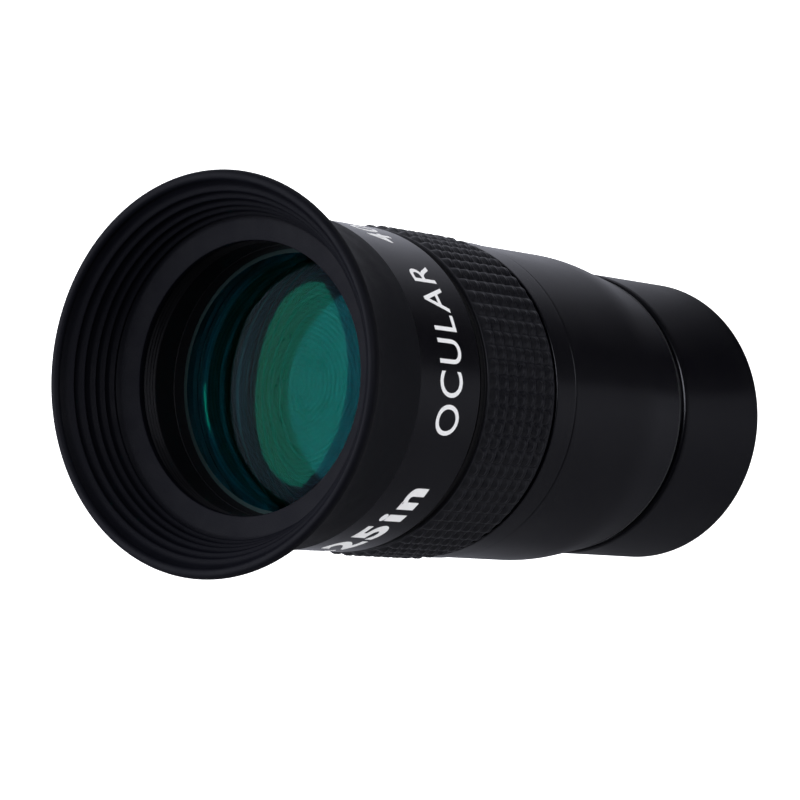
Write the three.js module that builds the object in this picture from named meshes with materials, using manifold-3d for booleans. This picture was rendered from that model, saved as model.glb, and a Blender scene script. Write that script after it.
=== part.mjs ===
// A telescope eyepiece in millimetres, standing on the field end of its barrel, eye end up.
// Z is the optical axis, and z = 0 is the barrel's end face. Every sub-part is turned about
// that axis, so each is one closed outline revolved, and the slotted rings are cut afterwards.
import * as THREE from 'three';
import Module from 'manifold-3d';
import { mergeVertices } from 'three/addons/utils/BufferGeometryUtils.js';

const wasm = await Module();
wasm.setup();

// ---- driving dimensions -------------------------------------------------------------------

const SEGMENTS = 36; // facets round the axis, the same for every sub-part
const PLAY = 0.05; // radial gap and end gap between turned neighbours

// Barrel that slides into the focuser: the 1.25 inch size.
const BARREL_R = 31.75 / 2;
const BARREL_TOP = 15.8; // end of the full-size tube
const BARREL_TIP_EDGE = 0.2; // broken edge at the field end
const BARREL_SHOULDER = 0.55; // bevel at the top of the full-size tube
const FILTER_R = 28.5 / 2; // thread for screw-in filters
const FILTER_DEPTH = 5.0;
const FILTER_RUNOUT = 0.6; // cone between the thread and the seat bore
const BARREL_BORE_R = 14.0;
const RELIEF_R = 15.25; // neck between the tube and the housing
const BARREL_THREAD_R = 14.6;
const BARREL_THREAD_TOP = 22.0;
const STOP_SEAT_Z = 12.9; // ledge that the field stop rests on
const STOP_SEAT_R = 13.65;
const STOP_R = 13.4; // clear radius of the field stop
const STOP_BEVEL = 0.25;
const STOP_THICKNESS = 0.8;
const STOP_RING_HEIGHT = 1.8;

// Lower housing: a plain cylinder with a long taper down to the barrel.
const BODY_R = 17.0;
const HOUSING_BASE = 16.7;
const TAPER_END_R = 15.7;
const TAPER_TOP = 25.2;
const TAPER_EDGE = 0.3; // bevel at the foot of the taper
const PARTING_Z = 40.35; // line between the two housings
const HOUSING_BORE_R = 15.0;
const JOINT_THREAD_R = 15.9; // threads that join housing to housing and cap to housing
const JOINT_THREAD_LENGTH = 4.4;
const BAFFLE_Z = 29.6;
const BAFFLE_R = 12.6;
const BAFFLE_THICKNESS = 1.2;
const BAFFLE_LIP = 0.2; // thickness at the opening, which both faces bevel down to
const THREAD_RUNOUT = 0.5; // room past the end of the barrel's thread

// Upper housing, its exposed band, and the rubber grip above the band.
const BAND_R = 17.1;
const BAND_TOP = 44.15;
const GRIP_BASE = 44.4;
const GRIP_TOP = 57.7;
const GRIP_R = 17.3;
const GRIP_EDGE = 0.35;
const NECK_TOP = 66.4;

// Cap ring at the eye end, with the spigot that carries the eyecup.
const CAP_BASE = 58.1;
const CAP_TOP = 69.3;
const CAP_STEP_R = 16.25; // recess that leaves a dark line above the grip
const CAP_STEP_TOP = 58.5;
const SPIGOT_R = 15.85;
const SPIGOT_TOP = 74.5;
const MOUTH_R = 14.0; // threaded mouth above the lens cell, which it also holds down

// Lens cell and the two cemented doublets in it.
const CELL_BASE = 49.0;
const CELL_TOP = 69.4;
const CELL_BORE_R = 14.35;
const CELL_LEDGE = 1.35;
const CELL_LEDGE_R = 13.2;
const LOCK_RING_HEIGHT = 2.05;
const LENS_R = 14.3;
const CLEAR_R = 13.75; // clear radius inside the ring over the eye lens
const CLEAR_BEVEL = 0.2;
const SPACER_WALL = 1.0;
const SPACER_BEVEL = 0.35;
const EYE_LENS_EDGE = 68.0;
const EYE_CEMENT_EDGE = 63.0;
const EYE_CROWN_EDGE = 61.6;
const FIELD_CROWN_EDGE = 56.9;
const FIELD_CEMENT_EDGE = 55.5;
const FIELD_LENS_EDGE = 50.5;
const OUTER_FACE_RADIUS = 170; // nearly flat faces at the two ends of the stack
const CEMENT_RADIUS = 37.2; // deep faces cemented crown to flint
const INNER_FACE_RADIUS = 50; // crown faces that look at each other
const OUTER_FACE_STEPS = 3; // straight pieces from rim to pole
const CEMENT_STEPS = 5;
const INNER_FACE_STEPS = 4;

// Rubber eyecup: a sleeve with a flat flange, a flared wall and a rolled lip.
const FLANGE_R = 13.9;
const FLANGE_TOP = 75.2; // at the opening, from where the flange dishes up to its rim
const FLANGE_RIM_R = 16.0;
const FLANGE_RIM_TOP = 75.55;
const CUP_R = 17.25;
const CUP_DRAFT = 0.55; // growth of the outer radius that is even along the cup
const CUP_FLARE = 2.6; // growth that sets in towards the lip
const CUP_BASE = 69.35;
const SLEEVE_MIDDLE = 73;
const FLARE_BASE = 76.0;
const BOWL_R = 16.5;
const BOWL_DRAFT = 2.0;
const BOWL_FLARE = 0.7;
const FLARE_STEPS = 4;
const BEAD_SIDES = 10;
const LIP_R = 20.43;
const LIP_BEAD = 0.6;
const LIP_TOP = 81.9;

const SLOT_WIDTH = 1.2; // spanner slots in the threaded rings
const SLOT_DEPTH = 0.6;

// ---- materials ----------------------------------------------------------------------------

const anodised = () => new THREE.MeshStandardMaterial({ color: 0x151517, roughness: 0.38, metalness: 0.6 });
const blackened = () => new THREE.MeshStandardMaterial({ color: 0x0b0b0c, roughness: 0.7, metalness: 0.4 });
const rubber = () => new THREE.MeshStandardMaterial({ color: 0x1c1c1e, roughness: 0.85, metalness: 0 });
const coatedGlass = () => new THREE.MeshStandardMaterial({ color: 0x0f6b5c, roughness: 0.05, metalness: 0 });

// ---- helpers ------------------------------------------------------------------------------

// Revolves an outline about Z. The points are [radius, height], listed anticlockwise with the
// radius to the right, and the outline is closed here unless both its ends are on the axis.
function turned(outline) {
  const points = outline.map(([radius, height]) => new THREE.Vector2(radius, height));
  const onAxis = points[0].x === 0 && points.at(-1).x === 0;
  if (!onAxis) points.push(points[0].clone());
  return new THREE.LatheGeometry(points, SEGMENTS).rotateX(Math.PI / 2);
}

// Plain ring or tube between two heights.
function tube(innerR, outerR, base, top) {
  return turned([[innerR, base], [outerR, base], [outerR, top], [innerR, top]]);
}

function solid(geometry) {
  const bare = geometry.clone();
  bare.deleteAttribute('normal');
  bare.deleteAttribute('uv');
  const merged = mergeVertices(bare, 1e-4);
  const mesh = new wasm.Mesh({
    numProp: 3,
    vertProperties: new Float32Array(merged.attributes.position.array),
    triVerts: new Uint32Array(merged.index.array),
  });
  return new wasm.Manifold(mesh);
}

function geometryOf(body) {
  const { vertProperties, triVerts } = body.getMesh();
  const geometry = new THREE.BufferGeometry();
  geometry.setAttribute('position', new THREE.BufferAttribute(vertProperties, 3));
  geometry.setIndex(new THREE.BufferAttribute(triVerts, 1));
  geometry.computeVertexNormals();
  return geometry;
}

// Cuts one spanner slot right across the end face of a threaded ring at a given height.
function slotted(geometry, height) {
  const slot = new THREE.BoxGeometry(4 * BODY_R, SLOT_WIDTH, 2 * SLOT_DEPTH).translate(0, 0, height);
  return geometryOf(solid(geometry).subtract(solid(slot)));
}

// Depth of a spherical face below its pole at a given radius from the axis.
function sag(faceRadius, r) {
  return faceRadius - Math.sqrt(faceRadius * faceRadius - r * r);
}

// Points along a spherical face from the rim to the pole. bulge is +1 where the pole is above
// the rim and -1 where it is below.
function face(edgeZ, faceRadius, bulge, steps) {
  const points = [];
  for (let i = 0; i <= steps; i += 1) {
    const r = LENS_R * (1 - i / steps);
    points.push([r, edgeZ + bulge * (sag(faceRadius, LENS_R) - sag(faceRadius, r))]);
  }
  return points;
}

// Lens between a lower and an upper face, each listed from its rim to its pole.
function lens(lower, upper) {
  return turned([...lower.toReversed(), ...upper]);
}

function part(name, geometry, material) {
  const mesh = new THREE.Mesh(geometry, material);
  mesh.name = name;
  return mesh;
}

// ---- barrel -------------------------------------------------------------------------------

function nosepieceBarrel() {
  return turned([
    [FILTER_R, 0],
    [BARREL_R - BARREL_TIP_EDGE, 0],
    [BARREL_R, BARREL_TIP_EDGE],
    [BARREL_R, BARREL_TOP - BARREL_SHOULDER],
    [BARREL_R - BARREL_SHOULDER, BARREL_TOP],
    [RELIEF_R, BARREL_TOP],
    [RELIEF_R, HOUSING_BASE - PLAY],
    [BARREL_THREAD_R, HOUSING_BASE - PLAY],
    [BARREL_THREAD_R, BARREL_THREAD_TOP],
    [BARREL_BORE_R, BARREL_THREAD_TOP],
    [BARREL_BORE_R, STOP_SEAT_Z],
    [STOP_SEAT_R, STOP_SEAT_Z],
    [STOP_SEAT_R, FILTER_DEPTH + FILTER_RUNOUT],
    [FILTER_R, FILTER_DEPTH],
  ]);
}

function fieldStop() {
  const outer = BARREL_BORE_R - PLAY;
  const base = STOP_SEAT_Z + PLAY;
  const top = base + STOP_THICKNESS;
  return turned([[STOP_R + STOP_BEVEL, base], [outer, base], [outer, top], [STOP_R, top]]);
}

function fieldStopRing() {
  const base = STOP_SEAT_Z + STOP_THICKNESS + 3 * PLAY;
  const top = base + STOP_RING_HEIGHT;
  return slotted(tube(STOP_R + PLAY, BARREL_BORE_R - PLAY, base, top), top);
}

// ---- housings and grip --------------------------------------------------------------------

function lowerHousing() {
  const threadBase = PARTING_Z - JOINT_THREAD_LENGTH - PLAY;
  return turned([
    [BARREL_THREAD_R + PLAY, HOUSING_BASE],
    [TAPER_END_R - TAPER_EDGE, HOUSING_BASE],
    [TAPER_END_R, HOUSING_BASE + TAPER_EDGE],
    [BODY_R, TAPER_TOP],
    [BODY_R, PARTING_Z - PLAY],
    [JOINT_THREAD_R + PLAY, PARTING_Z - PLAY],
    [JOINT_THREAD_R + PLAY, threadBase],
    [HOUSING_BORE_R, threadBase],
    [HOUSING_BORE_R, BARREL_THREAD_TOP + 2 * THREAD_RUNOUT],
    [BARREL_THREAD_R + PLAY, BARREL_THREAD_TOP + THREAD_RUNOUT],
  ]);
}

function glareBaffle() {
  const outer = HOUSING_BORE_R - PLAY;
  const top = BAFFLE_Z + BAFFLE_THICKNESS;
  return turned([
    [BAFFLE_R, top - 2 * BAFFLE_LIP],
    [outer, BAFFLE_Z],
    [outer, top],
    [BAFFLE_R, top - BAFFLE_LIP],
  ]);
}

function upperHousing() {
  const threadBase = PARTING_Z - JOINT_THREAD_LENGTH;
  return turned([
    [HOUSING_BORE_R, threadBase],
    [JOINT_THREAD_R, threadBase],
    [JOINT_THREAD_R, PARTING_Z],
    [BAND_R, PARTING_Z],
    [BAND_R, BAND_TOP],
    [JOINT_THREAD_R, BAND_TOP],
    [JOINT_THREAD_R, NECK_TOP],
    [HOUSING_BORE_R, NECK_TOP],
  ]);
}

function gripBand() {
  const inner = JOINT_THREAD_R + PLAY;
  return turned([
    [inner, GRIP_BASE],
    [GRIP_R - GRIP_EDGE, GRIP_BASE],
    [GRIP_R, GRIP_BASE + GRIP_EDGE],
    [GRIP_R, GRIP_TOP - GRIP_EDGE],
    [GRIP_R - GRIP_EDGE, GRIP_TOP],
    [inner, GRIP_TOP],
  ]);
}

// ---- eye end ------------------------------------------------------------------------------

function eyeCapRing() {
  const thread = JOINT_THREAD_R + PLAY;
  return turned([
    [thread, CAP_BASE],
    [CAP_STEP_R, CAP_BASE],
    [CAP_STEP_R, CAP_STEP_TOP],
    [BODY_R, CAP_STEP_TOP],
    [BODY_R, CAP_TOP],
    [SPIGOT_R, CAP_TOP],
    [SPIGOT_R, SPIGOT_TOP],
    [MOUTH_R, SPIGOT_TOP],
    [MOUTH_R, CELL_TOP + PLAY],
    [HOUSING_BORE_R, CELL_TOP + PLAY],
    [HOUSING_BORE_R, NECK_TOP + PLAY],
    [thread, NECK_TOP + PLAY],
  ]);
}

function lensCell() {
  const outer = HOUSING_BORE_R - PLAY;
  const ledgeTop = CELL_BASE + CELL_LEDGE;
  return turned([
    [CELL_LEDGE_R, CELL_BASE],
    [outer, CELL_BASE],
    [outer, CELL_TOP],
    [CELL_BORE_R, CELL_TOP],
    [CELL_BORE_R, ledgeTop],
    [CELL_LEDGE_R, ledgeTop],
  ]);
}

function cellLockRing() {
  const top = CELL_BASE - PLAY;
  const base = top - LOCK_RING_HEIGHT;
  return slotted(tube(CELL_LEDGE_R, HOUSING_BORE_R - PLAY, base, top), base);
}

// The ring bevels inwards so that its upper edge doesn't cut into the view.
function eyeRetainingRing() {
  const base = EYE_LENS_EDGE + PLAY;
  const outer = CELL_BORE_R - PLAY;
  const top = CELL_TOP - PLAY;
  const ring = turned([[CLEAR_R, base], [outer, base], [outer, top], [CLEAR_R + CLEAR_BEVEL, top]]);
  return slotted(ring, top);
}

// The spacer's ends are bevelled to follow the crown faces that bulge in from both sides.
function doubletSpacer() {
  const inner = LENS_R - SPACER_WALL;
  const base = FIELD_CROWN_EDGE + PLAY;
  const top = EYE_CROWN_EDGE - PLAY;
  return turned([
    [inner, base + SPACER_BEVEL],
    [LENS_R, base],
    [LENS_R, top],
    [inner, top - SPACER_BEVEL],
  ]);
}

function eyeFlint() {
  const lower = face(EYE_CEMENT_EDGE + PLAY, CEMENT_RADIUS, 1, CEMENT_STEPS);
  return lens(lower, face(EYE_LENS_EDGE, OUTER_FACE_RADIUS, 1, OUTER_FACE_STEPS));
}

function eyeCrown() {
  const lower = face(EYE_CROWN_EDGE, INNER_FACE_RADIUS, -1, INNER_FACE_STEPS);
  return lens(lower, face(EYE_CEMENT_EDGE, CEMENT_RADIUS, 1, CEMENT_STEPS));
}

function fieldCrown() {
  const lower = face(FIELD_CEMENT_EDGE, CEMENT_RADIUS, -1, CEMENT_STEPS);
  return lens(lower, face(FIELD_CROWN_EDGE, INNER_FACE_RADIUS, 1, INNER_FACE_STEPS));
}

function fieldFlint() {
  const lower = face(FIELD_LENS_EDGE, OUTER_FACE_RADIUS, -1, OUTER_FACE_STEPS);
  return lens(lower, face(FIELD_CEMENT_EDGE - PLAY, CEMENT_RADIUS, -1, CEMENT_STEPS));
}

// ---- rubber eyecup ------------------------------------------------------------------------

// Outer face of the cup: straight at the sleeve, then flaring ever faster up to the lip.
function cupOuterR(z) {
  const t = (z - CUP_BASE) / (LIP_TOP - LIP_BEAD - CUP_BASE);
  return CUP_R + CUP_DRAFT * t + CUP_FLARE * t ** 4;
}

// Inner face of the flare: a bowl that opens from the flange to the lip.
function cupInnerR(z) {
  const t = (z - FLARE_BASE) / (LIP_TOP - LIP_BEAD - FLARE_BASE);
  return BOWL_R + BOWL_DRAFT * t + BOWL_FLARE * t ** 4;
}

function eyecupSleeve() {
  const inner = SPIGOT_R + PLAY;
  const underside = SPIGOT_TOP + PLAY;
  return turned([
    [inner, CUP_BASE],
    [cupOuterR(CUP_BASE), CUP_BASE],
    [cupOuterR(SLEEVE_MIDDLE), SLEEVE_MIDDLE],
    [cupOuterR(FLARE_BASE), FLARE_BASE],
    [cupInnerR(FLARE_BASE), FLARE_BASE],
    [FLANGE_RIM_R, FLANGE_RIM_TOP],
    [FLANGE_R, FLANGE_TOP],
    [FLANGE_R, underside],
    [inner, underside],
  ]);
}

function eyecupWall() {
  const base = FLARE_BASE + PLAY;
  const top = LIP_TOP - 2 * LIP_BEAD - PLAY;
  const step = (top - base) / FLARE_STEPS;
  const heights = Array.from({ length: FLARE_STEPS + 1 }, (_, i) => base + step * i);
  const outer = heights.map((z) => [cupOuterR(z), z]);
  const inner = heights.toReversed().map((z) => [cupInnerR(z), z]);
  return turned([...outer, ...inner]);
}

function eyecupLip() {
  const centreR = LIP_R - LIP_BEAD;
  const centreZ = LIP_TOP - LIP_BEAD;
  const outline = [];
  for (let i = 0; i < BEAD_SIDES; i += 1) {
    const angle = (2 * Math.PI * i) / BEAD_SIDES;
    outline.push([centreR + LIP_BEAD * Math.cos(angle), centreZ + LIP_BEAD * Math.sin(angle)]);
  }
  return turned(outline);
}

// ---- assembly -----------------------------------------------------------------------------

const eyepiece = new THREE.Group();

eyepiece.add(
  part('nosepiece_barrel', nosepieceBarrel(), anodised()),
  part('field_stop', fieldStop(), blackened()),
  part('field_stop_ring', fieldStopRing(), blackened()),
);

eyepiece.add(
  part('lower_housing', lowerHousing(), anodised()),
  part('glare_baffle', glareBaffle(), blackened()),
  part('upper_housing', upperHousing(), anodised()),
  part('grip_band', gripBand(), rubber()),
  part('eye_cap_ring', eyeCapRing(), anodised()),
);

eyepiece.add(
  part('lens_cell', lensCell(), blackened()),
  part('cell_lock_ring', cellLockRing(), blackened()),
  part('eye_retaining_ring', eyeRetainingRing(), blackened()),
  part('doublet_spacer', doubletSpacer(), blackened()),
  part('eye_flint_lens', eyeFlint(), coatedGlass()),
  part('eye_crown_lens', eyeCrown(), coatedGlass()),
  part('field_crown_lens', fieldCrown(), coatedGlass()),
  part('field_flint_lens', fieldFlint(), coatedGlass()),
);

eyepiece.add(
  part('eyecup_sleeve', eyecupSleeve(), rubber()),
  part('eyecup_wall', eyecupWall(), rubber()),
  part('eyecup_lip', eyecupLip(), rubber()),
);

export default eyepiece;
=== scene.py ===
import math

import bpy
import bmesh
import numpy as np
from mathutils import Matrix, Vector


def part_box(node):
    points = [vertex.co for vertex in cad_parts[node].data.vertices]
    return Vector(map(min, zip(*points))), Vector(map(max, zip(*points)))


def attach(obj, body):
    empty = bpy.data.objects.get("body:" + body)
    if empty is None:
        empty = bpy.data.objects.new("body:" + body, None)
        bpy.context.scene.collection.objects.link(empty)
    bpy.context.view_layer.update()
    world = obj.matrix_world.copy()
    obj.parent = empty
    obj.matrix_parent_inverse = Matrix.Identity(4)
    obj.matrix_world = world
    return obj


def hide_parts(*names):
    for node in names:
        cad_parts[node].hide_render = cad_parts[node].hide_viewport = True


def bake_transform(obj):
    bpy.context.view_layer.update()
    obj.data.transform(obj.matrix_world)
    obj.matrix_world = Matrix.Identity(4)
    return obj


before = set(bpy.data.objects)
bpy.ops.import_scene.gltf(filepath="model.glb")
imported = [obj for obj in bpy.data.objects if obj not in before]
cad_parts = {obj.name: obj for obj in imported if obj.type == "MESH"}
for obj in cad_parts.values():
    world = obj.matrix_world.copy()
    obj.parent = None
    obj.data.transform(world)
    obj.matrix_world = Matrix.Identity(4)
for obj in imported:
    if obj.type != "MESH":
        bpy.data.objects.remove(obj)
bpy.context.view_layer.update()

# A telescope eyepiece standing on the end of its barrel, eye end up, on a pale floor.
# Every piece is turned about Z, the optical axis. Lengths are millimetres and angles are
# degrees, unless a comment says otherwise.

MM = 0.001

# ---- camera --------------------------------------------------------------------------------

AIM = (-0.58, 0.0, 48.35)
CAMERA_DISTANCE = 418.64
CAMERA_ELEVATION = 54.82
CAMERA_ROLL = 83.94
FIELD_OF_VIEW = 11.58
SENSOR = 36
CLIP = (0.01, 20)  # metres

# ---- stage ---------------------------------------------------------------------------------

FLOOR_SIZE = 3000.0
FLOOR_LEVEL = -0.02
FLOOR_GREY = 0.5
# Floor inside the barrel's mouth: a dark grey disc of painted shade
SHADE_LEVEL = 0.01
PAINTED_SHADE_GREY = 0.05
WALL_RADIUS = 1450.0
WALL_BASE = -1.0
WALL_TOP = 3000.0
WHITE_GLOW = 1.6  # glow of floor and wall, which show as plain white
WORLD_GLOW = 0.04
COOL = (0.94, 0.96, 1.1)  # faint blue of the light
LIGHT_TARGET = (0, 0, 60)
DISC_STEPS = 96

CARD_LEVEL = 0.02
CARD_RADIUS = 1200.0
CARD_GLOW = (0.62, 1.05)  # strength of the card's glow at the two distances below
CARD_RISE = (15, 55)
CARD_TONES = (  # direction from the axis, tone
    (-180, 0.084), (-148, 0.079), (-118, 0.096), (-96, 0.144), (-86, 0.165), (-76, 0.14),
    (-70, 0.03), (-60, 0.01), (-50, 0.005), (-38, 0.035), (-22, 0.117), (-10, 0.23),
    (8, 0.36), (25, 0.5), (40, 0.6), (60, 0.7), (85, 0.9), (108, 0.9),
    (128, 0.3), (146, 0.196), (160, 0.147), (174, 0.1), (180, 0.084),
)

# ---- turning -------------------------------------------------------------------------------

RING_STEPS = 288  # divisions round the axis
ARC_STEPS = 5
SHARP = 32  # edges sharper than this stay sharp
SAME_PLACE = 1e-7  # metres

PLAY = 0.05  # gap between neighbouring parts
EDGE = 0.12  # usual broken edge on turned metal
FINE_EDGE = 0.1
SPLIT_R = 15.95  # inner radius of the parts that go over the upper housing's neck

SLOT_WIDTH = 1.2
SLOT_REACH = 60
RING_SLOT = 0.6  # depth of the slots in the threaded rings

# ---- outlines ------------------------------------------------------------------------------


def span(node):
    """Base height, top height and outer radius of a CAD node, in millimetres."""
    low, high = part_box(node)
    return low.z / MM, high.z / MM, high.x / MM


def rounded(corners):
    """Closed outline with its corners rounded. Each corner is (r, z) or (r, z, corner radius)."""
    points = []
    count = len(corners)
    for i, corner in enumerate(corners):
        here = Vector(corner[:2])
        radius = corner[2] if len(corner) > 2 else 0.0
        if radius == 0.0:
            points.append(here)
            continue
        before = (Vector(corners[i - 1][:2]) - here).normalized()
        after = (Vector(corners[(i + 1) % count][:2]) - here).normalized()
        half_angle = before.angle(after) / 2
        back = radius / math.tan(half_angle)
        middle = here + (before + after).normalized() * radius / math.sin(half_angle)
        start = here + before * back - middle
        end = here + after * back - middle
        turn = start.angle_signed(end)
        for k in range(ARC_STEPS + 1):
            angle = -turn * k / ARC_STEPS
            points.append(middle + Matrix.Rotation(angle, 2) @ start)
    return points


def refined(points, step, near=0.0, far=math.inf):
    """The same closed outline with no stretch longer than step between radii near and far.

    Stretches elsewhere only get a point at step from each end, which keeps their shading flat.
    """
    result = []
    for i, point in enumerate(points):
        following = points[(i + 1) % len(points)]
        length = (following - point).length
        result.append(point)
        if near <= min(point.x, following.x) and max(point.x, following.x) <= far:
            pieces = math.ceil(length / step)
            result += [point.lerp(following, k / pieces) for k in range(1, pieces)]
        elif length > 3 * step:
            result += [point.lerp(following, step / length), following.lerp(point, step / length)]
    return result


def ring_outline(inner, outer, base, top):
    """Outline of a plain ring with fine broken edges."""
    corners = ((inner, base), (outer, base), (outer, top), (inner, top))
    return rounded([(*corner, FINE_EDGE) for corner in corners])


# ---- turned meshes -------------------------------------------------------------------------


def turned(name, points, relief=None, steps=RING_STEPS, closed=True):
    """Revolves an outline about Z. relief(angle, r, z) is an added radius, in millimetres."""
    radius = np.array([p[0] for p in points], float)
    height = np.array([p[1] for p in points], float)
    angle = np.arange(steps) * 2 * math.pi / steps
    r = np.tile(radius, (steps, 1))
    z = np.tile(height, (steps, 1))
    a = np.tile(angle[:, None], (1, len(points)))
    if relief is not None:
        r = r + relief(a, r, z)
    coords = np.stack([r * np.cos(a), r * np.sin(a), z], -1).reshape(-1, 3) * MM
    count = len(points)
    faces = []
    for i in range(steps):
        row = i * count
        following = ((i + 1) % steps) * count
        for k in range(count if closed else count - 1):
            m = (k + 1) % count
            faces.append((row + k, following + k, following + m, row + m))
    mesh = bpy.data.meshes.new(name)
    mesh.from_pydata(coords.tolist(), [], faces)
    piece = link(name, mesh)
    if not closed:
        weld(mesh)
    smooth(piece)
    return piece


def link(name, data):
    """Adds an object to the scene."""
    thing = bpy.data.objects.new(name, data)
    bpy.context.scene.collection.objects.link(thing)
    return thing


def weld(mesh):
    """Joins vertices that share a place, such as the pole of a lens."""
    work = bmesh.new()
    work.from_mesh(mesh)
    bmesh.ops.remove_doubles(work, verts=work.verts, dist=SAME_PLACE)
    work.to_mesh(mesh)
    work.free()


def smooth(piece):
    piece.data.polygons.foreach_set("use_smooth", [True] * len(piece.data.polygons))
    piece.data.set_sharp_from_angle(angle=math.radians(SHARP))


def thread(base, top, pitch, depth, fade=0.4):
    """Relief of a screw thread between two heights. It fades in and out over fade."""

    def relief(angle, r, z):
        turns = z / pitch - angle / (2 * math.pi)
        tooth = np.abs(2 * (turns - np.floor(turns)) - 1)
        ends = np.clip((z - base) / fade, 0, 1) * np.clip((top - z) / fade, 0, 1)
        return depth * tooth * ends

    return relief


def only_inside(relief, limit):
    """Keeps a relief to the part of an outline that is nearer the axis than limit."""
    return lambda angle, r, z: np.where(r < limit, relief(angle, r, z), 0.0)


def inner_finish_or_painted_shade(piece, limit, material):
    """Gives the faces nearer the axis than limit another material: a real finish in bores, painted
    shade where a caller says so.
    """
    piece.data.materials.append(material)
    for face in piece.data.polygons:
        if face.center.xy.length < limit * MM:
            face.material_index = len(piece.data.materials) - 1


def cut_slots(piece, z, depth):
    """Cuts one spanner slot right across a ring's end face at height z."""
    bpy.ops.mesh.primitive_cube_add(size=1)
    cutter = bpy.context.object
    cutter.scale = (SLOT_REACH * MM, SLOT_WIDTH * MM, 2 * depth * MM)
    cutter.location = (0, 0, z * MM)
    cut = piece.modifiers.new("slots", "BOOLEAN")
    cut.object = cutter
    cut.operation = "DIFFERENCE"
    cut.solver = "EXACT"
    bpy.context.view_layer.objects.active = piece
    bpy.ops.object.modifier_apply(modifier=cut.name)
    bpy.data.objects.remove(cutter)
    smooth(piece)


# ---- materials -----------------------------------------------------------------------------


class Shader:
    """A Principled material and the few nodes that the materials here are made of."""

    def __init__(self, name, **values):
        self.material = bpy.data.materials.new(name)
        self.material.use_nodes = True
        self.nodes = self.material.node_tree.nodes
        self.links = self.material.node_tree.links
        self.surface = self.nodes["Principled BSDF"]
        self.set(self.surface, values)

    def set(self, node, values):
        for socket, value in values.items():
            node.inputs[socket.replace("_", " ")].default_value = value

    def add(self, kind, **values):
        node = self.nodes.new("ShaderNode" + kind)
        self.set(node, values)
        return node

    def join(self, output, target):
        self.links.new(output, target)

    def drive(self, socket, output):
        self.join(output, self.surface.inputs[socket])

    def place(self, stretch=(1, 1, 1)):
        """Position in the row frame, in metres, stretched along the axes."""
        mapping = self.add("Mapping", Scale=stretch)
        self.join(self.add("TexCoord").outputs["Object"], mapping.inputs["Vector"])
        return mapping.outputs["Vector"]

    def noise(self, size, stretch=(1, 1, 1), detail=3.0, roughness=0.55):
        """Noise whose grains are size millimetres across."""
        node = self.add("TexNoise", Scale=1 / (size * MM), Detail=detail, Roughness=roughness)
        self.join(self.place(stretch), node.inputs["Vector"])
        return node.outputs["Fac"]

    def between(self, factor, low, high, start=0.3, end=0.7):
        """Maps a factor from start..end to low..high."""
        node = self.add("MapRange", From_Min=start, From_Max=end, To_Min=low, To_Max=high)
        self.join(factor, node.inputs["Value"])
        return node.outputs["Result"]

    def blend(self, factor, dark, light):
        """Mixes two (r, g, b) colours by a factor."""
        node = self.nodes.new("ShaderNodeMix")
        node.data_type = "RGBA"
        self.join(factor, node.inputs["Factor"])
        for socket, colour in (("A", dark), ("B", light)):
            target = next(i for i in node.inputs if i.name == socket and i.type == "RGBA")
            target.default_value = (*colour, 1)
        return next(o for o in node.outputs if o.type == "RGBA")

    def ramp(self, factor, stops):
        """Colour ramp: each stop is (place, (r, g, b))."""
        node = self.add("ValToRGB")
        elements = node.color_ramp.elements
        while len(elements) < len(stops):
            elements.new(0.5)
        for element, (where, colour) in zip(elements, stops):
            element.position = where
            element.color = (*colour, 1)
        self.join(factor, node.inputs["Fac"])
        return node.outputs["Color"]

    def radius(self, scale):
        """Distance from the optical axis as a share of scale millimetres."""
        length = self.add("VectorMath")
        length.operation = "LENGTH"
        shrink = 1 / (scale * MM)
        self.join(self.place((shrink, shrink, 0)), length.inputs[0])
        return length.outputs["Value"]

    def bump(self, height, depth, strength, over=None):
        """Bump of depth millimetres, laid over another bump's normal if one is given."""
        node = self.add("Bump", Strength=strength, Distance=depth * MM)
        self.join(height, node.inputs["Height"])
        if over is not None:
            self.join(over, node.inputs["Normal"])
        return node.outputs["Normal"]


class Glow(Shader):
    """A material that gives light."""

    def __init__(self, name, **values):
        super().__init__(name)
        self.nodes.remove(self.surface)
        self.surface = self.add("Emission", **values)
        self.join(self.surface.outputs[0], self.nodes["Material Output"].inputs["Surface"])


def shades(tone, dark, light):
    """A darker and a lighter shade of a tone."""
    return [tuple(share * c for c in tone) for share in (dark, light)]


def anodised(name, tone, roughness):
    """Satin black anodised aluminium: fine turning marks round the axis and faint handling."""
    shader = Shader(name, Metallic=0.0, IOR=1.5)
    turning = shader.noise(size=0.09, stretch=(0.02, 0.02, 1), detail=2.0)
    cloud = shader.noise(size=5.0, detail=4.0)
    dust = shader.noise(size=0.35, detail=1.0)
    shader.drive("Base Color", shader.blend(cloud, *shades(tone, 0.8, 1.25)))
    shader.drive("Roughness", shader.between(cloud, roughness - 0.03, roughness + 0.05))
    grooves = shader.bump(turning, depth=0.006, strength=0.55)
    shader.drive("Normal", shader.bump(dust, depth=0.004, strength=0.35, over=grooves))
    return shader.material


def rubber(name, tone, roughness, shine, grain_size, grain_depth):
    """Moulded rubber: a dry grain and soft mottling."""
    shader = Shader(name, IOR=1.46, Specular_IOR_Level=shine)
    grain = shader.noise(grain_size, detail=4.0, roughness=0.65)
    mottle = shader.noise(size=2.4, detail=5.0)
    shader.drive("Base Color", shader.blend(mottle, *shades(tone, 0.75, 1.3)))
    shader.drive("Roughness", shader.between(mottle, roughness - 0.05, roughness + 0.06))
    shader.drive("Normal", shader.bump(grain, grain_depth, strength=0.6))
    return shader.material


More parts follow.
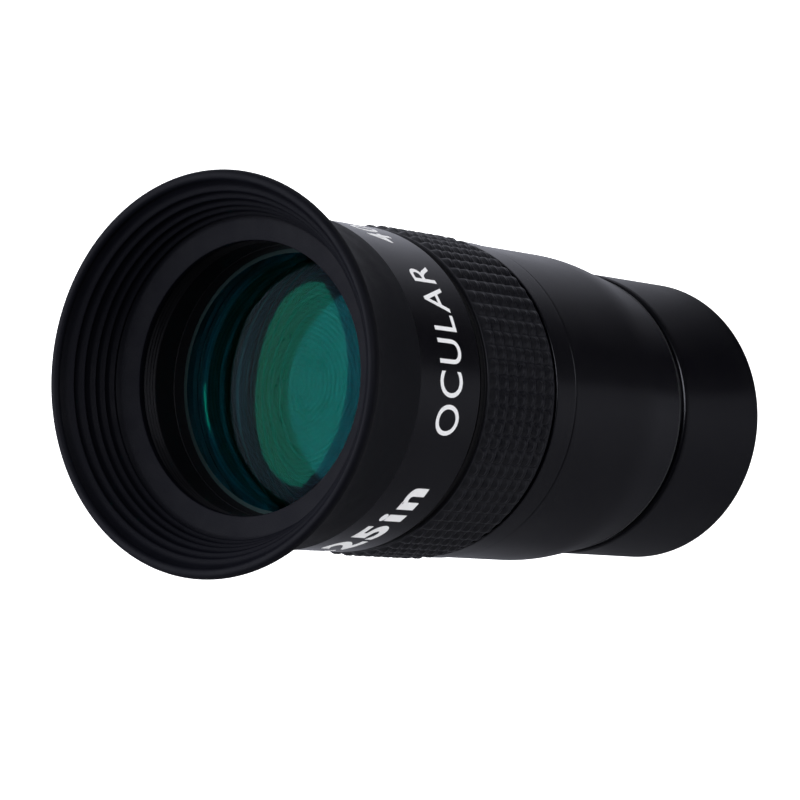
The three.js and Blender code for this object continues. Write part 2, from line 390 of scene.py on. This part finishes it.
def grainy(name, index, colours, polish, size, depth, strength, cloud=None, **noise):
    """A plain finish: a fine grain gives its polish, its relief and, unless cloudy, its shade."""
    shader = Shader(name, IOR=index)
    grain = shader.noise(size, **noise)
    shade = grain if cloud is None else shader.noise(cloud)
    shader.drive("Base Color", shader.blend(shade, *colours))
    shader.drive("Roughness", shader.between(grain, *polish))
    shader.drive("Normal", shader.bump(grain, depth, strength))
    return shader.material


def coating(name, tint, through, rim, index=1.52):
    """Polished coated glass: reflects its tint, and colours what is seen through it."""
    shader = Shader(name, IOR=index, Transmission_Weight=1.0, Specular_Tint=(*tint, 1))
    stops = ((0.0, through), (0.6, through), (1.0, rim))
    shader.drive("Base Color", shader.ramp(shader.radius(14.3), stops))
    haze = shader.noise(size=6.0)
    shader.drive("Roughness", shader.between(haze, 0.0, 0.035))
    return shader.material


def cement():
    """Cemented interface: light goes straight through, with faint rings of painted reflection in
    its tint.
    """
    shader = Shader("lens_cement", Roughness=0.0, IOR=1.0, Transmission_Weight=1.0)
    rings = shader.add("Math")
    rings.operation = "PINGPONG"
    rings.inputs[1].default_value = 1.0
    shader.join(shader.radius(0.24), rings.inputs[0])
    # Painted reflection: rings of a lighter and a darker tint stand in for the ring reflections in
    # the lens
    colours = ((0.72, 0.84, 0.78), (0.97, 1.0, 0.98))
    shader.drive("Base Color", shader.blend(rings.outputs[0], *colours))
    return shader.material


HOUSING_METAL = anodised("satin_anodised_housing", tone=(0.0008, 0.0007, 0.0022), roughness=0.2)
BARREL_METAL = anodised("satin_anodised_barrel", tone=(0.0008, 0.0007, 0.0022), roughness=0.19)
BLACK = grainy(
    "blackened_metal", index=1.45, colours=((0.0012, 0.0012, 0.002), (0.0035, 0.0035, 0.005)),
    polish=(0.5, 0.68), size=0.12, depth=0.012, strength=0.5, cloud=3.0,
)
CUP_RUBBER = rubber(
    "soft_eyecup_rubber", tone=(0.0042, 0.0045, 0.0074),
    roughness=0.52, shine=0.14, grain_size=0.16, grain_depth=0.035,
)
GRIP_RUBBER = rubber(
    "grip_rubber", tone=(0.0036, 0.0038, 0.0068),
    roughness=0.32, shine=0.52, grain_size=0.1, grain_depth=0.02,
)
FRONT_COAT = coating(
    "lens_front_coating", tint=(0.0, 0.04, 0.07), through=(0.1, 0.78, 1.0), rim=(0.08, 0.74, 1.0)
)
EYE_COAT = coating(
    "lens_eye_coating", tint=(0.12, 0.93, 0.36), through=(0.4, 0.93, 0.93), rim=(0.35, 0.9, 1.0)
)
FIELD_COAT = coating(
    "lens_field_coating", tint=(0.6, 0.6, 0.5), through=(0.5, 0.95, 0.93), rim=(0.4, 0.9, 1.0)
)
REAR_COAT = coating(
    "lens_rear_coating", tint=(0.3, 1.0, 0.7), through=(0.7, 0.98, 0.96), rim=(0.6, 0.95, 1.0),
    index=1.62,
)
CEMENT = cement()
GROUND = grainy(
    "ground_glass_bevel", index=1.5, colours=((0.03, 0.06, 0.06), (0.06, 0.11, 0.1)),
    polish=(0.3, 0.45), size=0.1, depth=0.01, strength=0.4,
)
EDGE_PAINT = grainy(
    "lens_edge_paint", index=1.5, colours=((0.05, 0.07, 0.07), (0.08, 0.11, 0.11)),
    polish=(0.45, 0.6), size=0.25, depth=0.01, strength=0.5, stretch=(1, 1, 0.4), detail=4.0,
)
BORE = grainy(
    "satin_black_bore", index=1.5, colours=((0.01, 0.011, 0.012), (0.02, 0.022, 0.023)),
    polish=(0.26, 0.36), size=0.2, depth=0.006, strength=0.5, stretch=(0.3, 0.3, 1),
)
INK = grainy(
    "white_lettering", index=1.45, colours=((0.74, 0.74, 0.74), (0.86, 0.86, 0.86)),
    polish=(0.42, 0.55), size=0.2, depth=0.006, strength=0.4, detail=2.0,
)


def fit(piece, body, slot, *nodes, material=None):
    """Gives a piece its material and body, and lets it stand for its CAD nodes. The slot is not
    used.
    """
    if material is not None:
        piece.data.materials.append(material)
    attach(piece, body)
    if nodes:
        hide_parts(*nodes)


# ---- barrel --------------------------------------------------------------------------------

TUBE_SHOULDER = 0.58  # rounding at the top of the barrel tube
GROOVE_HEIGHT = 0.85  # relief groove between the tube and the housing
GROOVE_DEPTH = 0.62
SPIGOT_DEPTH = 1.27
FILTER_DEPTH = 5.0
FILTER_PITCH = 0.6
FILTER_THREAD = 0.3
STOP_OPENING = 13.4
STOP_BEVEL = 0.25
STOP_RING_BORE = 13.45


def make_barrel():
    _, thread_top, radius = span("nosepiece_barrel")
    _, _, ring_r = span("field_stop_ring")
    stop_base, _, _ = span("field_stop")
    housing_base, _, _ = span("lower_housing")
    tube_top = housing_base - GROOVE_HEIGHT
    groove_r = radius - GROOVE_DEPTH
    spigot_r = radius - SPIGOT_DEPTH
    bore = ring_r + PLAY
    seat_r = bore - 0.35
    mouth = bore + 0.25
    outline = rounded([
        (mouth + 0.25, 0.0, 0.08),
        (radius, 0.0, 0.14),
        (radius, tube_top, TUBE_SHOULDER),
        (groove_r, tube_top),
        (groove_r, housing_base - PLAY),
        (spigot_r, housing_base - PLAY),
        (spigot_r, thread_top, 0.3),
        (bore, thread_top, FINE_EDGE),
        (bore, stop_base),
        (seat_r, stop_base, FINE_EDGE),
        (seat_r, FILTER_DEPTH + 0.5, FINE_EDGE),
        (mouth, FILTER_DEPTH, FINE_EDGE),
        (mouth, 0.35),
    ])
    outline = refined(outline, 0.12, mouth - 0.01, mouth + 0.01)
    turns = thread(0.5, FILTER_DEPTH, FILTER_PITCH, -FILTER_THREAD)
    barrel = turned("barrel_tube", outline, only_inside(turns, mouth + 0.1))
    fit(barrel, "barrel", "barrel_metal", "nosepiece_barrel", material=BARREL_METAL)
    inner_finish_or_painted_shade(barrel, mouth + 0.15, BLACK)


def make_field_stop():
    base, top, outer = span("field_stop")
    outline = rounded([
        (STOP_OPENING + STOP_BEVEL, base), (outer, base), (outer, top), (STOP_OPENING, top),
    ])
    stop = turned("field_stop_washer", outline)
    fit(stop, "barrel", "blackened_metal", "field_stop", material=BLACK)


def make_field_stop_ring():
    base, top, outer = span("field_stop_ring")
    ring = turned("field_stop_lock_ring", ring_outline(STOP_RING_BORE, outer, base, top))
    cut_slots(ring, top, RING_SLOT)
    fit(ring, "barrel", "blackened_metal", "field_stop_ring", material=BLACK)


# ---- housings, baffle and grip -------------------------------------------------------------

FOOT_BORE = 14.65
FOOT_R = 15.7
TAPER_TOP = 25.2
TAPER_ROUNDING = 30.0
JOINT_DEPTH = 4.4
RIB_PITCH = 0.9
BAFFLE_OPENING = 12.6
NECK_BORE = 15.0
NECK_R = 15.9
PARTING_GAP = 0.16  # more than PLAY, so that the line between the housings shows
NECK_RIBS_TOP = 46

GRIP_ROWS = 68
GRIP_COLUMNS = 7
GRIP_STEPS = 11  # divisions round each row
GRIP_MARGIN = 0.3
GRIP_GROOVE = (0.4, 0.7)  # depth and height of the groove under the cap ring
RIBS = 3  # fine ribs across each stud
STUD_HEIGHT = 0.42
STUD_SINK = 0.34  # how far the ground between the studs lies inside the CAD's band


def make_lower_housing():
    base, top, radius = span("lower_housing")
    _, thread_top, _ = span("nosepiece_barrel")
    _, _, baffle_r = span("glare_baffle")
    bore = baffle_r + PLAY
    joint_base = top - JOINT_DEPTH
    outline = rounded([
        (FOOT_BORE, base),
        (FOOT_R, base, 0.25),
        (radius, TAPER_TOP, TAPER_ROUNDING),
        (radius, top, 0.2),
        (SPLIT_R, top, FINE_EDGE),
        (SPLIT_R, joint_base),
        (bore, joint_base),
        (bore, thread_top + 1),
        (FOOT_BORE, thread_top + 0.5),
    ])
    outline = refined(outline, 0.3, far=bore + 0.1)
    ribs = thread(thread_top + 2, joint_base - 1, RIB_PITCH, 0.3)
    housing = turned("housing_lower_shell", outline, only_inside(ribs, bore + 0.1))
    fit(housing, "housing", "housing_metal", "lower_housing", material=HOUSING_METAL)
    inner_finish_or_painted_shade(housing, SPLIT_R - 0.1, BORE)


def make_glare_baffle():
    base, top, outer = span("glare_baffle")
    outline = rounded([
        (BAFFLE_OPENING, base + 0.8),
        (outer, base, FINE_EDGE),
        (outer, top, FINE_EDGE),
        (BAFFLE_OPENING, top - 0.2),
    ])
    baffle = turned("glare_baffle_ring", outline)
    fit(baffle, "housing", "blackened_metal", "glare_baffle", material=BLACK)


def make_upper_housing():
    base, top, radius = span("upper_housing")
    grip_base, _, _ = span("grip_band")
    _, lower_top, _ = span("lower_housing")
    band_base = lower_top + PLAY + PARTING_GAP
    band_top = grip_base - 0.25
    outline = rounded([
        (NECK_BORE, base, 0.2),
        (NECK_R, base, 0.2),
        (NECK_R, band_base),
        (radius, band_base, 0.1),
        (radius, band_top, 0.14),
        (NECK_R, band_top),
        (NECK_R, top, 0.2),
        (NECK_BORE, top, 0.2),
    ])
    outline = refined(outline, 0.3, far=NECK_BORE + 0.1)
    ribs = thread(base + 1, NECK_RIBS_TOP, RIB_PITCH, 0.25)
    housing = turned("housing_upper_shell", outline, only_inside(ribs, NECK_BORE + 0.1))
    fit(housing, "housing", "housing_metal", "upper_housing", material=HOUSING_METAL)
    inner_finish_or_painted_shade(housing, NECK_BORE + 0.6, BORE)


def grip_studs(base, top, radius):
    """Rows of pillow-shaped studs with fine ribs across them, between two plain edges."""

    def relief(angle, r, z):
        row = angle * GRIP_ROWS / (2 * math.pi)
        column = (z - base - GRIP_MARGIN) / (top - base - 2 * GRIP_MARGIN) * GRIP_COLUMNS
        across = np.abs(2 * (row - np.floor(row)) - 1)
        along = np.abs(2 * (column - np.floor(column)) - 1)
        pillow = (1 - across**2.2) * (1 - along**2.6)
        ribs = 0.9 + 0.1 * np.cos(RIBS * 2 * math.pi * column)
        inside = (column > 0) & (column < GRIP_COLUMNS) & (r > radius - 0.2)
        return np.where(inside, STUD_HEIGHT * pillow * ribs, 0.0)

    return relief


def make_grip():
    base, top, radius = span("grip_band")
    groove_depth, groove_height = GRIP_GROOVE
    ground = radius - STUD_SINK
    groove_r = ground - groove_depth
    shoulder = top - groove_height
    outline = rounded([
        (SPLIT_R, base),
        (ground, base, 0.2),
        (ground, shoulder, 0.12),
        (groove_r, shoulder, FINE_EDGE),
        (groove_r, top),
        (SPLIT_R, top),
    ])
    outline = refined(outline, 0.13, near=ground - 0.01)
    relief = grip_studs(base, shoulder, ground)
    grip = turned("grip_band_studs", outline, relief, steps=GRIP_ROWS * GRIP_STEPS)
    fit(grip, "housing", "grip_rubber", "grip_band", material=GRIP_RUBBER)
    # The groove under the cap ring takes the blackened finish: painted shade, darker than the
    # rubber, for the cap ring's shadow
    inner_finish_or_painted_shade(grip, ground - 0.15, BLACK)


# ---- cap ring and its lettering ------------------------------------------------------------

CAP_STEP = (0.75, 0.4)  # depth and height of the step over the grip
CAP_SPIGOT_R = 15.85
CAP_MOUTH = 14.0
MOUTH_THREAD = (0.5, 0.24)  # pitch and depth
MOUTH_THREAD_LENGTH = 2.0

LETTER_BASELINE = 61.75
LETTER_RELIEF = 0.05
LETTER_SINK = 0.03
LETTER_SPACING = 1.15
LETTER_STRIP = 0.4  # width of the strips that a word is bent in
CAPITAL_SHARE = 0.7  # height of a capital in Blender's font, as a share of its size


def make_cap_ring():
    base, top, radius = span("eye_cap_ring")
    cup_base, _, _ = span("eyecup_sleeve")
    _, cell_top, cell_r = span("lens_cell")
    _, neck_top, _ = span("upper_housing")
    step_depth, step_height = CAP_STEP
    outline = rounded([
        (SPLIT_R, base),
        (radius - step_depth, base),
        (radius - step_depth, base + step_height),
        (radius, base + step_height, 0.09),
        (radius, cup_base - PLAY, EDGE),
        (CAP_SPIGOT_R, cup_base - PLAY),
        (CAP_SPIGOT_R, top, FINE_EDGE),
        (CAP_MOUTH, top, FINE_EDGE),
        (CAP_MOUTH, cell_top + PLAY, FINE_EDGE),
        (cell_r + PLAY, cell_top + PLAY),
        (cell_r + PLAY, neck_top + PLAY),
        (SPLIT_R, neck_top + PLAY),
    ])
    outline = refined(outline, 0.1, far=CAP_MOUTH + 0.1)
    thread_top = top - 0.1
    turns = thread(thread_top - MOUTH_THREAD_LENGTH, thread_top, *MOUTH_THREAD, fade=0.25)
    ring = turned("eye_cap_shell", outline, only_inside(turns, CAP_MOUTH + 0.1))
    fit(ring, "housing", "housing_metal", "eye_cap_ring", material=HOUSING_METAL)
    inner_finish_or_painted_shade(ring, CAP_SPIGOT_R - 0.1, BLACK)


def flat_lettering(name, words, height, weight):
    """Mesh of a word in the XY plane."""
    curve = bpy.data.curves.new(name, "FONT")
    curve.body = words
    curve.size = height / CAPITAL_SHARE * MM
    curve.space_character = LETTER_SPACING
    curve.offset = weight * MM
    curve.extrude = LETTER_RELIEF * MM
    curve.resolution_u = 6
    flat = link(name + "_flat", curve)
    bpy.context.view_layer.update()
    evaluated = flat.evaluated_get(bpy.context.evaluated_depsgraph_get())
    mesh = bpy.data.meshes.new_from_object(evaluated)
    bpy.data.objects.remove(flat)
    mesh.name = name
    mesh.materials.clear()
    return mesh


def stretch_to(mesh, width, height):
    """Scales a flat mesh to a width and height, with its lower left corner at the origin."""
    corners = np.array([v.co[:2] for v in mesh.vertices])
    low, high = corners.min(0), corners.max(0)
    for vertex in mesh.vertices:
        vertex.co.x = (vertex.co.x - low[0]) / (high[0] - low[0]) * width * MM
        vertex.co.y = (vertex.co.y - low[1]) / (high[1] - low[1]) * height * MM


def wrap(mesh, start, width, radius):
    """Cuts a flat mesh into strips and bends it round the axis from a start angle."""
    work = bmesh.new()
    work.from_mesh(mesh)
    for k in range(1, int(width / LETTER_STRIP) + 1):
        everything = work.verts[:] + work.edges[:] + work.faces[:]
        place = (k * LETTER_STRIP * MM, 0, 0)
        bmesh.ops.bisect_plane(work, geom=everything, plane_co=place, plane_no=(1, 0, 0))
    bmesh.ops.remove_doubles(work, verts=work.verts, dist=SAME_PLACE)
    for vertex in work.verts:
        angle = math.radians(start) + vertex.co.x / (radius * MM)
        out = (radius - LETTER_SINK) * MM + vertex.co.z
        height = LETTER_BASELINE * MM + vertex.co.y
        vertex.co = Vector((out * math.cos(angle), out * math.sin(angle), height))
    work.to_mesh(mesh)
    work.free()


def make_lettering(name, words, start, finish, height, weight):
    """White lettering wrapped round the cap ring between two angles from +X."""
    _, _, radius = span("eye_cap_ring")
    width = math.radians(finish - start) * radius
    mesh = flat_lettering(name, words, height, weight)
    stretch_to(mesh, width, height)
    wrap(mesh, start, width, radius)
    fit(link(name, mesh), "housing", "housing_metal", material=INK)


# ---- optics --------------------------------------------------------------------------------

LENS_STEPS = 192  # divisions round a lens
FACE_STEPS = 24  # divisions from a lens's edge to its middle
LENS_BEVEL = 0.35
EYE_LENS_BEVEL = 1.0
CEMENT_GAP = 0.05

# Radii of the lens faces, and the heights of their edges
OUTER_FACE = 170
CEMENT_FACE = 37.2
INNER_FACE = 50
EYE_EDGE = 68.0
EYE_CEMENT_EDGE = 63.0
EYE_INNER_EDGE = 61.6
FIELD_INNER_EDGE = 56.9
FIELD_CEMENT_EDGE = 55.5
FIELD_EDGE = 50.5

CELL_BORE = 14.35
CELL_LEDGE = (13.2, 1.35)  # radius and height
LOCK_RING_BORE = 13.2
EYE_RING_BORE = 13.75
EYE_RING_SLOT = 0.5
SPACER_WALL = 1.0
SPACER_LEDGE = 1.4


def sag(face_radius, r):
    return face_radius - math.sqrt(face_radius * face_radius - r * r)


def lens_face(edge_r, full_r, edge_z, face_radius, bulge):
    """Points of a spherical face from edge_r to the axis. edge_z is the face's height at full_r."""
    points = []
    for k in range(FACE_STEPS + 1):
        r = edge_r * (1 - k / FACE_STEPS)
        rise = sag(face_radius, full_r) - sag(face_radius, r)
        points.append(Vector((r, edge_z + bulge * rise)))
    return points


def middle_height(point, down, up):
    """Height half-way between a lens's two faces at a point's distance from the axis."""
    r = math.hypot(point.x, point.y) / MM
    heights = [min(face, key=lambda p: abs(p.x - r)).y for face in (down, up)]
    return sum(heights) / 2 * MM


def make_lens(name, node, lower, upper, lower_coat, upper_coat, upper_bevel=LENS_BEVEL):
    """Lens with a painted edge. lower and upper are (edge height, face radius, bulge)."""
    _, _, outer = span(node)
    down = lens_face(outer - LENS_BEVEL, outer, *lower)
    up = lens_face(outer - upper_bevel, outer, *upper)
    edge = [Vector((outer, down[0].y + LENS_BEVEL)), Vector((outer, up[0].y - LENS_BEVEL))]
    piece = turned(name, down[::-1] + edge + up, steps=LENS_STEPS, closed=False)
    paint, below, over, ground = range(4)
    for material in (EDGE_PAINT, lower_coat, upper_coat, GROUND):
        piece.data.materials.append(material)
    for face in piece.data.polygons:
        reach = max(piece.data.vertices[v].co.xy.length for v in face.vertices) / MM
        above = face.center.z > middle_height(face.center, down, up)
        if reach > outer - (upper_bevel if above else LENS_BEVEL) + 0.001:
            face.material_index = ground if above and face.normal.z > 0.1 else paint
        else:
            face.material_index = over if above else below
    fit(piece, "housing", "coated_glass", node)


def make_optics():
    make_lens(
        "eye_flint_element", "eye_flint_lens",
        (EYE_CEMENT_EDGE + CEMENT_GAP, CEMENT_FACE, 1), (EYE_EDGE, OUTER_FACE, 1),
        CEMENT, FRONT_COAT, EYE_LENS_BEVEL,
    )
    make_lens(
        "eye_crown_element", "eye_crown_lens",
        (EYE_INNER_EDGE, INNER_FACE, -1), (EYE_CEMENT_EDGE, CEMENT_FACE, 1),
        EYE_COAT, CEMENT,
    )
    make_lens(
        "field_crown_element", "field_crown_lens",
        (FIELD_CEMENT_EDGE, CEMENT_FACE, -1), (FIELD_INNER_EDGE, INNER_FACE, 1),
        CEMENT, FIELD_COAT,
    )
    make_lens(
        "field_flint_element", "field_flint_lens",
        (FIELD_EDGE, OUTER_FACE, -1), (FIELD_CEMENT_EDGE - CEMENT_GAP, CEMENT_FACE, -1),
        REAR_COAT, CEMENT,
    )


def make_lens_cell():
    base, top, outer = span("lens_cell")
    ledge_r, ledge_height = CELL_LEDGE
    outline = rounded([
        (ledge_r, base, FINE_EDGE),
        (outer, base, FINE_EDGE),
        (outer, top, FINE_EDGE),
        (CELL_BORE, top, FINE_EDGE),
        (CELL_BORE, base + ledge_height),
        (ledge_r, base + ledge_height, 0.35),
    ])
    cell = turned("lens_cell_tube", outline)
    fit(cell, "housing", "blackened_metal", "lens_cell", material=BORE)


def make_cell_lock_ring():
    base, top, outer = span("cell_lock_ring")
    ring = turned("cell_lock_ring_slotted", ring_outline(LOCK_RING_BORE, outer, base, top))
    cut_slots(ring, base, RING_SLOT)
    fit(ring, "housing", "blackened_metal", "cell_lock_ring", material=BLACK)


def make_eye_retaining_ring():
    base, top, outer = span("eye_retaining_ring")
    outline = rounded([
        (EYE_RING_BORE, base),
        (outer, base),
        (outer, top, FINE_EDGE),
        (EYE_RING_BORE + 0.25, top, 0.08),
    ])
    ring = turned("eye_lens_retaining_ring", outline)
    cut_slots(ring, top, EYE_RING_SLOT)
    fit(ring, "housing", "blackened_metal", "eye_retaining_ring", material=BLACK)


def make_doublet_spacer():
    base, top, outer = span("doublet_spacer")
    inner = outer - SPACER_WALL
    ledge = outer - SPACER_LEDGE
    outline = rounded([
        (ledge, base + 0.5),
        (inner, base + LENS_BEVEL),
        (outer, base, 0.05),
        (outer, top, 0.05),
        (inner, top - LENS_BEVEL, 0.05),
        (inner, base + 1.3, 0.2),
        (ledge, base + 1.0, 0.25),
    ])
    spacer = turned("doublet_spacer_ring", outline)
    fit(spacer, "housing", "blackened_metal", "doublet_spacer", material=EDGE_PAINT)


# ---- rubber eyecup -------------------------------------------------------------------------

CUP_SLEEVE_R = 17.25
CUP_BORE = 15.9
CUP_TAPER = 0.55  # growth of the outside from the base to the lip
CUP_FLARE = 2.6
CUP_BEAD = 0.6  # radius of the rolled lip
BEAD_JOIN = 0.35  # how far below the bead's middle the outside ends
BEAD_START = -25
BEAD_STEPS = 18
OUTSIDE_STEPS = 60

WELL_R = 16.55
WELL_TAPER = 2.0
WELL_FLARE = 0.95
WELL_BASE = 75.85
WELL_STEPS = 110
CUP_RIDGES = (76.3, 77.35, 78.35, 79.45, 80.4)
RIDGE_HEIGHT = 0.34
RIDGE_WIDTH = 0.2

CUP_FLANGE = (
    (16.15, 75.6), (15.9, 75.53), (14.1, 75.24), (13.96, 75.18), (13.9, 75.08),
    (13.9, 74.55), (CUP_BORE, 74.55),
)


def cup_outside(base, lip_z):
    """The outside from the sleeve's base up to the rolled lip, as (r, z)."""
    start = base + EDGE
    join = lip_z - BEAD_JOIN
    points = [(CUP_BORE, base), (CUP_SLEEVE_R - EDGE, base), (CUP_SLEEVE_R, start)]
    for k in range(1, OUTSIDE_STEPS + 1):
        z = start + (join - start) * k / OUTSIDE_STEPS
        t = (z - base) / (lip_z - base)
        points.append((CUP_SLEEVE_R + CUP_TAPER * t + CUP_FLARE * t**4, z))
    return points


def cup_bead(rim_r, lip_z):
    """Half round of the rolled lip, from the outside over the top."""
    points = []
    for k in range(BEAD_STEPS + 1):
        angle = math.radians(BEAD_START + 180 * k / BEAD_STEPS)
        r = rim_r - CUP_BEAD + CUP_BEAD * math.cos(angle)
        points.append((r, lip_z + CUP_BEAD * math.sin(angle)))
    return points


def cup_well(start, flare_base, lip_z):
    """The ridged inside from a start height under the lip down to the flange."""
    points = []
    for k in range(WELL_STEPS + 1):
        z = start + (WELL_BASE - start) * k / WELL_STEPS
        t = (z - flare_base) / (lip_z - flare_base)
        ridges = sum(math.exp(-(((z - ridge) / RIDGE_WIDTH) ** 2)) for ridge in CUP_RIDGES)
        points.append((WELL_R + WELL_TAPER * t + WELL_FLARE * t**4 - RIDGE_HEIGHT * ridges, z))
    return points


def make_eyecup():
    base, flare_base, _ = span("eyecup_sleeve")
    _, top, rim_r = span("eyecup_lip")
    lip_z = top - CUP_BEAD
    bead = cup_bead(rim_r, lip_z)
    well = cup_well(bead[-1][1] - 0.15, flare_base, lip_z)
    outline = [*cup_outside(base, lip_z), *bead, *well, *CUP_FLANGE]
    cup = turned("rubber_eyecup", outline)
    cup.data.materials.append(CUP_RUBBER)
    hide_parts("eyecup_sleeve", "eyecup_wall", "eyecup_lip")
    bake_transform(cup)


# ---- stage ---------------------------------------------------------------------------------


def disc(name, radius, level):
    return turned(name, [(0, level), (radius, level)], steps=DISC_STEPS, closed=False)


def seen_only_by(thing, ray):
    """Leaves a stage object visible to one kind of ray alone."""
    for kind in ("camera", "diffuse", "glossy", "transmission", "shadow", "volume_scatter"):
        setattr(thing, "visible_" + kind, kind == ray)


def make_floor():
    bpy.ops.mesh.primitive_plane_add(size=FLOOR_SIZE * MM)
    floor = bpy.context.object
    floor.name = "floor"
    floor.location.z = FLOOR_LEVEL * MM
    shader = Shader(
        "pale_floor", Base_Color=(FLOOR_GREY, FLOOR_GREY, FLOOR_GREY, 1), Roughness=0.9,
        Emission_Color=(1, 1, 1, 1), Emission_Strength=WHITE_GLOW,
    )
    floor.data.materials.append(shader.material)


def make_painted_shade_floor():
    """The floor inside the barrel's mouth, which no light reaches: a dark grey disc of painted
    shade, without the floor's glow.
    """
    _, _, radius = span("nosepiece_barrel")
    shade = disc("floor_in_barrel", radius - 0.5, SHADE_LEVEL)
    shader = Shader(
        "painted_shade_floor", Base_Color=(PAINTED_SHADE_GREY, PAINTED_SHADE_GREY, PAINTED_SHADE_GREY, 1), Roughness=0.9,
    )
    shade.data.materials.append(shader.material)


def make_backdrop():
    """White wall all round, behind the part in low views."""
    outline = [(WALL_RADIUS, WALL_BASE), (WALL_RADIUS, WALL_TOP)]
    wall = turned("backdrop", outline, steps=DISC_STEPS, closed=False)
    glow = Glow("backdrop_glow", Color=(1, 1, 1, 1), Strength=WHITE_GLOW)
    wall.data.materials.append(glow.material)
    seen_only_by(wall, "camera")


def make_floor_card():
    """Grey card that the polished sides reflect in place of the white floor round the part."""
    card = disc("reflection_card", CARD_RADIUS, CARD_LEVEL)
    glow = Glow("card_glow")
    sweep = glow.add("TexGradient")
    sweep.gradient_type = "RADIAL"
    glow.join(glow.place(), sweep.inputs["Vector"])
    stops = [
        ((angle + 180) / 360, tuple(tone * c for c in COOL)) for angle, tone in CARD_TONES
    ]
    glow.drive("Color", glow.ramp(sweep.outputs["Fac"], stops))
    glow.drive("Strength", glow.between(glow.radius(1.0), *CARD_GLOW, *CARD_RISE))
    card.data.materials.append(glow.material)
    seen_only_by(card, "glossy")


def make_softbox(name, direction, distance, size, radiance):
    """Oval soft light of (width, height) on a direction from the part, of a given radiance."""
    light = bpy.data.lights.new(name, "AREA")
    light.shape = "ELLIPSE"
    light.size, light.size_y = size[0] * MM, size[1] * MM
    light.color = COOL
    light.energy = radiance * math.pi**2 / 4 * light.size * light.size_y
    lamp = link(name, light)
    heading = Vector(direction).normalized()
    lamp.location = (Vector(LIGHT_TARGET) + heading * distance) * MM
    lamp.rotation_mode = "QUATERNION"
    lamp.rotation_quaternion = heading.to_track_quat("Z", "Y")
    lamp.visible_camera = False


def make_world():
    world = bpy.data.worlds.new("studio")
    bpy.context.scene.world = world
    world.use_nodes = True
    background = world.node_tree.nodes["Background"]
    background.inputs["Color"].default_value = (*COOL, 1)
    background.inputs["Strength"].default_value = WORLD_GLOW


def make_camera():
    elevation = math.radians(CAMERA_ELEVATION)
    roll = math.radians(CAMERA_ROLL)
    forward = Vector((0, math.cos(elevation), -math.sin(elevation)))
    level_up = Vector((0, math.sin(elevation), math.cos(elevation)))
    up = level_up * math.cos(roll) + Vector((1, 0, 0)) * math.sin(roll)
    right = forward.cross(up)
    data = bpy.data.cameras.new("camera")
    data.sensor_width = SENSOR
    data.lens = SENSOR / 2 / math.tan(math.radians(FIELD_OF_VIEW) / 2)
    data.clip_start, data.clip_end = CLIP
    camera = link("camera", data)
    turn = Matrix((right, up, -forward)).transposed().to_4x4()
    place = (Vector(AIM) - forward * CAMERA_DISTANCE) * MM
    camera.matrix_world = Matrix.Translation(place) @ turn
    bpy.context.scene.camera = camera


def make_stage():
    make_world()
    make_floor()
    make_painted_shade_floor()
    make_backdrop()
    make_floor_card()
    make_softbox(
        "overhead_back", direction=(0.0, 0.645, 0.765), distance=900, size=(1360, 1160),
        radiance=2.1,
    )
    make_softbox(
        "key_by_camera", direction=(0.28, -0.5, 0.82), distance=1000, size=(420, 420),
        radiance=4.5,
    )
    make_softbox(
        "side_right", direction=(1, 0.1, 0.5), distance=950, size=(400, 400), radiance=0.1,
    )
    bpy.context.scene.view_settings.view_transform = "Standard"
    make_camera()


# ---- everything ----------------------------------------------------------------------------

make_barrel()
make_field_stop()
make_field_stop_ring()
make_lower_housing()
make_glare_baffle()
make_upper_housing()
make_grip()
make_cap_ring()
make_lettering("lettering_type", "OCULAR", start=-102.5, finish=-39.5, height=3.95, weight=0.015)
make_lettering("lettering_focus", "40mm", start=-26.0, finish=14.0, height=3.95, weight=0.03)
make_lettering("lettering_fit", "1.25in", start=-181.0, finish=-123.0, height=4.3, weight=0.22)
make_optics()
make_lens_cell()
make_cell_lock_ring()
make_eye_retaining_ring()
make_doublet_spacer()
make_eyecup()
make_stage()
